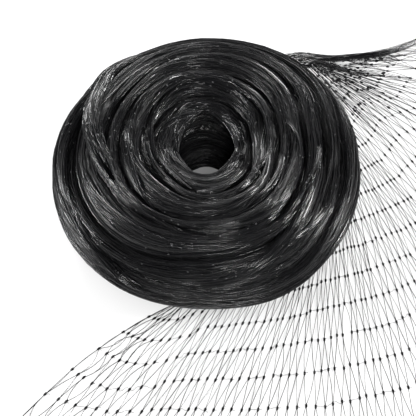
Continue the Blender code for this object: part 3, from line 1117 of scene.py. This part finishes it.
UNDER_ROLL = 87.0  # how near the roll's axis the net reaches under its overhang
FAN_THREADS = 64
FAN_FIRST = np.array([97.0, 176.0, 5.0])  # the fan leaves the gathered end between this place
FAN_LAST = np.array([110.0, 181.0, 3.0])  # and this one, in millimetres from the axis
FAN_STRAY = 0.8  # how far from there its threads start, in millimetres
FAN_COLUMN, FAN_ROWS = 54, (9, 12)  # the knots it runs to: from this column on, in these rows
EDGE_THREADS = 40  # threads that leave the gathered end farther on
EDGE_COLUMN, EDGE_ROW = 67, 13  # the knots they run to: from this column on, up to this row
ROW_REACH = 20.0  # a row that would lie up to this much nearer is moved out to there
SAG = 0.5  # how far the rows sag beside the net's left border, in rows
SAG_COLUMNS = 10.5
KNOT_STRAY = 0.45  # how far a knot lies off its place, in millimetres
ROW_GAPS = 0.2  # share of the places along a row without a thread from knot to knot
WHISKERS = 0.45  # share of the others where it is only a loose end
ROW_WAVE = 0.1  # how far such a thread winds, as a share of its length
ROW_THREAD = 0.55  # its thickness in threads
BORDER_BOW = 0.02
NET_BOW = 0.012  # how far a thread bows aside, as a share of its length
LOOSE_BOW = 0.06  # how much farther at the net's left border
THREAD_LIFT = (-0.3, 0.8)  # how far a thread dips or lifts between two knots, in millimetres


def rib_place(rib, row):
    """Where a rib crosses a row of knots, on its parabola through three points."""
    f = (row - rib[6]) / (rib[7] - rib[6])
    outer = 2 * (f - 0.5) * (f - 1)
    middle = 4 * f * (1 - f)
    inner = 2 * f * (f - 0.5)
    return np.array([
        outer * rib[0] + middle * rib[2] + inner * rib[4],
        outer * rib[1] + middle * rib[3] + inner * rib[5],
    ])


def net_place(column, row):
    """A knot's place on the floor in millimetres from the roll's axis, or None off the net."""
    sag = math.sin(math.pi * min(column, SAG_COLUMNS) / SAG_COLUMNS)
    row = row - SAG * sag * min(row / 2.0, 1.0)
    passed = 0.0
    for i in range(len(RIBS) - 1):
        if column <= passed + RIBS[i][8] or i == len(RIBS) - 2:
            break
        passed += RIBS[i][8]
    f = (column - passed) / RIBS[i][8]
    left, right = RIBS[i], RIBS[i + 1]
    first = left[6] + (right[6] - left[6]) * f
    last = left[7] + (right[7] - left[7]) * f
    if f > 1.0 + 1e-6 or not first - 0.01 <= row <= last + 0.01:
        return None
    place = rib_place(left, row) * (1 - f) + rib_place(right, row) * f
    away = float(np.hypot(*place))
    if away < UNDER_ROLL - ROW_REACH:
        return None
    return place * max(1.0, UNDER_ROLL / away)


def net_knots(rng):
    """The knots by row and column, each row half a mesh aside from the next."""
    columns = sum(rib[8] for rib in RIBS)
    rows = int(max(rib[7] for rib in RIBS))
    knots = {}
    for i in range(rows + 1):
        for j in range(int(columns) + 1):
            place = net_place(j + (0.5 if i % 2 and j else 0.0), i)
            if place is not None:
                knots[i, j] = from_axis([*(place + rng.normal(0, KNOT_STRAY, 2)), 0.0])
    return knots


def bars_of(knots):
    """Pairs of knots that a thread joins."""
    for i, j in knots:
        for other in ((i + 1, j - 1), (i + 1, j)) if i % 2 == 0 else ((i + 1, j), (i + 1, j + 1)):
            if other in knots:
                yield (i, j), other


def slack_thread(rng, start, end, steps, bow):
    """A thread between two places that bows aside and lifts a little."""
    f = np.linspace(0, 1, steps)[:, None]
    across = np.array([end[1] - start[1], start[0] - end[0], 0.0])
    places = start + (end - start) * f + across * rng.normal(0, bow) * np.sin(math.pi * f)
    places[:, 2] += np.sin(math.pi * f[:, 0]) * rng.uniform(*THREAD_LIFT) * MM
    places[:, 2] = np.maximum(places[:, 2], NET_LOWEST)
    return places


def fan_runs(rng, knots):
    """Threads that run together where the net's upper corner is gathered."""
    runs, ties = [], []
    corner = [
        (column, row) for row, column in knots
        if column >= FAN_COLUMN and FAN_ROWS[0] <= row <= FAN_ROWS[1]
    ]
    corner.sort()
    for number in range(FAN_THREADS):
        share = (number + rng.uniform(0, 1)) / FAN_THREADS
        column, row = corner[int(share * len(corner))]
        start = FAN_FIRST + (FAN_LAST - FAN_FIRST) * share + rng.normal(0, FAN_STRAY, 3)
        places = slack_thread(rng, from_axis(start), knots[row, column], 8, 0.008)
        runs.append((places, rng.uniform(0.8, 1.1), 1.0))
        ties += [(places[k], places[k + 1] - places[k]) for k in rng.integers(1, 6, 2)]
    edge = [key for key in knots if key[1] >= EDGE_COLUMN and key[0] <= EDGE_ROW]
    band = from_axis(open_curve(BAND, np.linspace(10, 15, 60))[:, :3])
    for _ in range(EDGE_THREADS):
        end = knots[edge[int(rng.integers(len(edge)))]]
        near = band[band[:, 0] < end[0] - rng.uniform(15, 45) * MM]
        if len(near):
            start = near[-1] + rng.normal(0, FAN_STRAY, 3) * MM
            places = slack_thread(rng, start, end, 8, 0.01)
            runs.append((places, rng.uniform(0.7, 1.1), 1.0))
    return runs, ties


def bar_runs(rng, knots):
    """Threads from row to row, and the way they run through each knot."""
    runs = []
    heading = {key: np.zeros(3) for key in knots}
    for a, b in bars_of(knots):
        along = knots[b] - knots[a]
        for key in (a, b):
            heading[key] += along / np.linalg.norm(along)
        loose = max(0.0, 1 - a[1] / SAG_COLUMNS) if a[1] + b[1] else 0.0
        places = slack_thread(rng, knots[a], knots[b], 5, NET_BOW + LOOSE_BOW * loose)
        runs.append((places, rng.uniform(0.85, 1.15), 1.0))
    return runs, heading


def row_runs(rng, knots):
    """Thin threads along the rows, many of them only loose ends."""
    runs = []
    for (i, j), place in knots.items():
        other = knots.get((i, j + 1))
        if other is None or rng.uniform() < ROW_GAPS:
            continue
        f = np.linspace(0, 0.35 if rng.uniform() < WHISKERS else 1, 6)[:, None]
        span = other - place
        across = np.array([span[1], -span[0], 0.0])
        places = place + span * f + across * np.sin(2 * math.pi * f) * rng.normal(0, ROW_WAVE)
        places[:, 2] = np.maximum(places[:, 2], ROW_LOWEST)
        runs.append((places, ROW_THREAD, 1.0))
    return runs


def border_runs(rng, knots):
    """The left border, one thread at its first rows and more of them further along."""
    runs = []
    border = sorted(key for key in knots if key[1] == 0)
    for a, b in zip(border, border[1:]):
        for _ in range(1 + a[0] // 2):
            places = slack_thread(rng, knots[a], knots[b], 6, BORDER_BOW)
            runs.append((places, rng.uniform(0.8, 1.1), 1.0))
    return runs


class NETTING_OT_spread_net(bpy.types.Operator):
    """Spread the loose end: threads between knots, each row half a mesh aside from the next."""

    bl_idname = "netting.spread_net"
    bl_label = "Spread the net"

    def execute(self, context):
        sizes = context.scene.netting_net
        rng = np.random.default_rng(5)
        knots = net_knots(rng)
        for place in knots.values():
            place[2] = rng.uniform(0.5, 0.9) * MM
        bars, heading = bar_runs(rng, knots)
        rows = row_runs(rng, knots)
        border = border_runs(rng, knots)
        fan, ties = fan_runs(rng, knots)
        net = threads("net_threads", bars + rows + border + fan, sizes.thread, sides=4)
        surface = nylon_thread("net_nylon_monofilament", context.scene.netting_finish, 0.3)
        places = [*knots.values()] + [place for place, _ in ties]
        along = [way + (1e-6, 0, 0) for way in heading.values()] + [way for _, way in ties]
        tied = beads("net_knots", places, along, sizes.knot_length, sizes.knot_width)
        tied.data.materials.append(surface)
        finish_piece(net, "net_threads", surface, "loose_net")
        clean_selection()
        tied.select_set(True)
        net.select_set(True)
        context.view_layer.objects.active = net
        bpy.ops.object.join()
        return {"FINISHED"}


# ---------------------------------------------------------------- the stage

LAMPS = (
    # name, place, width, height, watts
    ("left_softbox", (-1.76, -0.28, 0.8), 1.3, 0.4, 124),
    ("right_softbox", (1.57, -0.27, 0.95), 0.6, 0.4, 112),
    ("back_left_softbox", (-0.57, 1.40, 0.9), 0.5, 0.4, 29),
    ("back_right_softbox", (0.46, 1.40, 0.9), 0.5, 0.4, 27),
    ("front_softbox", (0.16, -1.17, 1.31), 0.4, 0.3, 25),
)
LAMP_AIM = 0.05  # metres above the floor on the roll's axis
ROOM_LIGHT = 0.03
FLOOR_SIZE = 40.0
CAMERA_EYE = (1.487, -457.3, 566.4)  # millimetres from the roll's axis, as is the next
CAMERA_TARGET = (1.487, 1.739, 0.0)


def aim(obj, place):
    """Turn a lamp or the camera towards a place."""
    obj.rotation_euler = (Vector(place) - obj.location).to_track_quat("-Z", "Y").to_euler()


class NETTING_OT_set_stage(bpy.types.Operator):
    """Add the floor, the soft lights and the camera."""

    bl_idname = "netting.set_stage"
    bl_label = "Set the stage"

    def execute(self, context):
        scene = context.scene
        clean_selection()
        bpy.ops.mesh.primitive_plane_add(size=FLOOR_SIZE, location=(0, 0, 0))
        floor = context.object
        floor.name = "floor"
        floor.data.materials.append(light_table(scene.netting_finish))
        for name, place, width, height, watts in LAMPS:
            bpy.ops.object.light_add(type="AREA", location=place)
            lamp = context.object
            lamp.name = name
            lamp.data.shape = "ELLIPSE"
            lamp.data.size = width
            lamp.data.size_y = height
            lamp.data.energy = watts
            aim(lamp, (*AXIS, LAMP_AIM))
        world = bpy.data.worlds.new("studio")
        world.use_nodes = True
        sky = world.node_tree.nodes["Background"]
        sky.inputs["Color"].default_value = (1, 1, 1, 1)
        sky.inputs["Strength"].default_value = ROOM_LIGHT
        scene.world = world
        scene.view_settings.view_transform = "Standard"
        bpy.ops.object.camera_add(location=from_axis(CAMERA_EYE))
        camera = context.object
        camera.name = "camera"
        camera.data.lens = 75.0
        camera.data.sensor_width = 36.0
        camera.data.clip_start = 0.01
        aim(camera, from_axis(CAMERA_TARGET))
        scene.camera = camera
        return {"FINISHED"}


class NETTING_PT_panel(bpy.types.Panel):
    """Sizes, colours and steps of the netting roll."""

    bl_idname = "NETTING_PT_panel"
    bl_label = "Bird netting roll"
    bl_space_type = "VIEW_3D"
    bl_region_type = "UI"
    bl_category = "Netting"

    def draw(self, context):
        for name, group in GROUPS:
            box = self.layout.box()
            for key in group.__annotations__:
                box.prop(getattr(context.scene, name), key)
        for step in STEPS:
            self.layout.operator(step.bl_idname)


STEPS = (
    NETTING_OT_wind_core,
    NETTING_OT_wind_threads,
    NETTING_OT_gather_tail,
    NETTING_OT_spread_net,
    NETTING_OT_set_stage,
)
GROUPS = (
    ("netting_roll", RollSizes), ("netting_net", NetSizes), ("netting_finish", NetFinish)
)
CLASSES = tuple(group for _, group in GROUPS) + STEPS + (NETTING_PT_panel,)


def register():
    """Register the classes and give the scene their sizes and colours."""
    for cls in CLASSES:
        bpy.utils.register_class(cls)
    for name, group in GROUPS:
        setattr(bpy.types.Scene, name, bpy.props.PointerProperty(type=group))


def unregister():
    """Take the sizes, colours and classes away again."""
    for name, _ in GROUPS:
        delattr(bpy.types.Scene, name)
    for cls in reversed(CLASSES):
        bpy.utils.unregister_class(cls)


def main():
    """Build the object piece by piece."""
    register()
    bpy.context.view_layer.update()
    bpy.ops.netting.wind_core()
    bpy.ops.netting.wind_threads()
    bpy.ops.netting.gather_tail()
    bpy.ops.netting.spread_net()
    bpy.ops.netting.set_stage()


if __name__ == "__main__":
    main()
